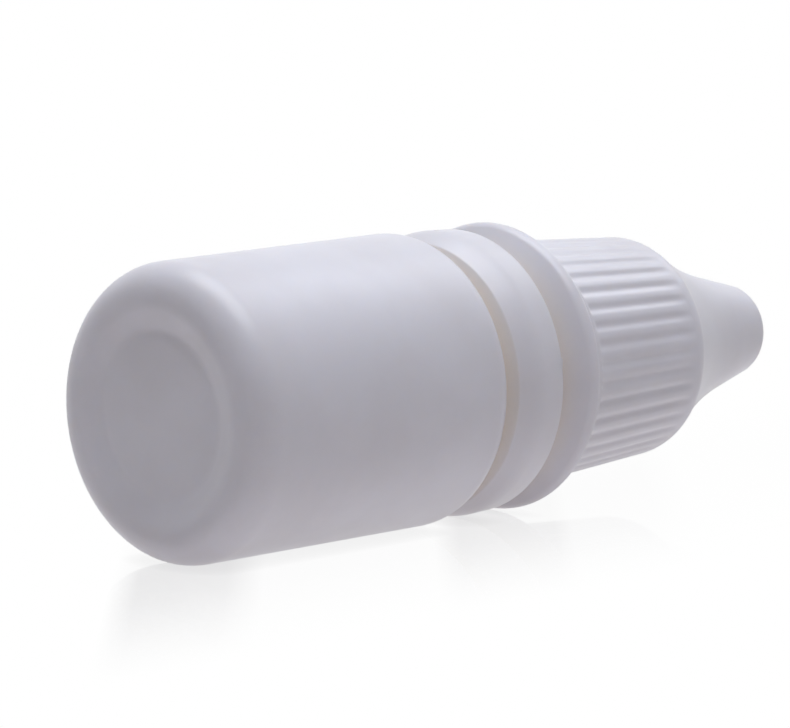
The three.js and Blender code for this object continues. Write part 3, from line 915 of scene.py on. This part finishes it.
# Stand
# White sheet under the base for views in which the vial stands upright. Only the camera sees it, from above.
stand_shade_reach = 9 * MM
stand_shade_darkest = 0.6
stand = white_sheet("stand", [(across * floor_reach, along * floor_reach, 0)
                              for across, along in ((1, 1), (-1, 1), (-1, -1), (1, -1))])
stand_paint = bpy.data.materials.new("stand_white")
stand_paint.use_nodes = True
tree = stand_paint.node_tree
tree.nodes.remove(tree.nodes["Principled BSDF"])
white = tree.nodes.new("ShaderNodeEmission")
tree.links.new(contact_shade(tree, stand_shade_reach, stand_shade_darkest), white.inputs["Strength"])
clear = tree.nodes.new("ShaderNodeBsdfTransparent")
facing = tree.nodes.new("ShaderNodeNewGeometry")
path = tree.nodes.new("ShaderNodeLightPath")
from_above = math_node(tree, "SUBTRACT", path.outputs["Is Camera Ray"], facing.outputs["Backfacing"])
stand_look = mixed(tree, math_node(tree, "MAXIMUM", from_above, 0), clear.outputs["BSDF"],
                   white.outputs["Emission"])
tree.links.new(stand_look, tree.nodes["Material Output"].inputs["Surface"])
stand.data.materials.append(stand_paint)

# Light
# White room with a large soft lamp above the lying vial. One that leans towards its nose shows in the gloss
# alone, as a pale band along the upper side. The rest of the light comes up from the floor.
room_level = 0.01
lamp_colour = (0.95, 0.985, 1.045)
lamp_distance = 0.42
gloss_swing = 0.12
world = bpy.data.worlds.new("white_room")
bpy.context.scene.world = world
world.use_nodes = True
tree = world.node_tree
tree.nodes.clear()
room = tree.nodes.new("ShaderNodeBackground")
room.inputs["Strength"].default_value = room_level
room.inputs["Color"].default_value = (1, 1, 1, 1)
backdrop = tree.nodes.new("ShaderNodeBackground")
backdrop.inputs["Color"].default_value = (1, 1, 1, 1)
world_output = tree.nodes.new("ShaderNodeOutputWorld")
world_look = mixed(tree, seen_rays(tree), room.outputs["Background"], backdrop.outputs["Background"])
tree.links.new(world_look, world_output.inputs["Surface"])


def soft_lamp(name, direction, length, width, power):
    """Rectangular lamp that faces the middle of the vial, with its length along the vial."""
    lamp = bpy.data.lights.new(name, "AREA")
    lamp.shape = "RECTANGLE"
    lamp.size = length
    lamp.size_y = width
    lamp.color = lamp_colour
    lamp.energy = power
    softbox = bpy.data.objects.new(name, lamp)
    bpy.context.scene.collection.objects.link(softbox)
    middle = vial_axis * (cad_low.z + cad_high.z) / 2
    away = direction.normalized()
    softbox.location = middle + away * lamp_distance
    long_side = (vial_axis - away * vial_axis.dot(away)).normalized()
    turn = Matrix((long_side, away.cross(long_side), away)).transposed()
    softbox.rotation_mode = "QUATERNION"
    softbox.rotation_quaternion = turn.to_quaternion()
    return softbox


soft_lamp("overhead_lamp", lying_up, length=0.3, width=0.45, power=1.9)
gloss_direction = lying_up + vial_axis - lying_front * gloss_swing
gloss_lamp = soft_lamp("gloss_lamp", gloss_direction, length=0.3, width=0.2, power=0.28)
gloss_lamp.visible_diffuse = False

# Camera
# Long lens, low over the floor, looking at the base and along the vial's side.
photo_width = 790
focal_pixels = 5300
camera_pitch = math.radians(8.5)
vial_heading = math.radians(44.66)
base_to_left = 18.72 * MM
base_below = 4.138 * MM
base_ahead = 411.931 * MM

level_ahead = vial_axis * math.cos(vial_heading) - lying_front * math.sin(vial_heading)
camera_right = vial_axis * math.sin(vial_heading) + lying_front * math.cos(vial_heading)
camera_ahead = level_ahead * math.cos(camera_pitch) - lying_up * math.sin(camera_pitch)
camera_up = level_ahead * math.sin(camera_pitch) + lying_up * math.cos(camera_pitch)
lens = bpy.data.cameras.new("camera")
lens.sensor_width = 36
lens.lens = focal_pixels / photo_width * lens.sensor_width
lens.clip_start = 0.01
camera = bpy.data.objects.new("camera", lens)
bpy.context.scene.collection.objects.link(camera)
camera_turn = Matrix((camera_right, camera_up, -camera_ahead)).transposed()
camera_place = camera_right * base_to_left + camera_up * base_below - camera_ahead * base_ahead
camera.matrix_world = Matrix.Translation(camera_place) @ camera_turn.to_4x4()
bpy.context.scene.camera = camera
bpy.context.scene.view_settings.view_transform = "Standard"
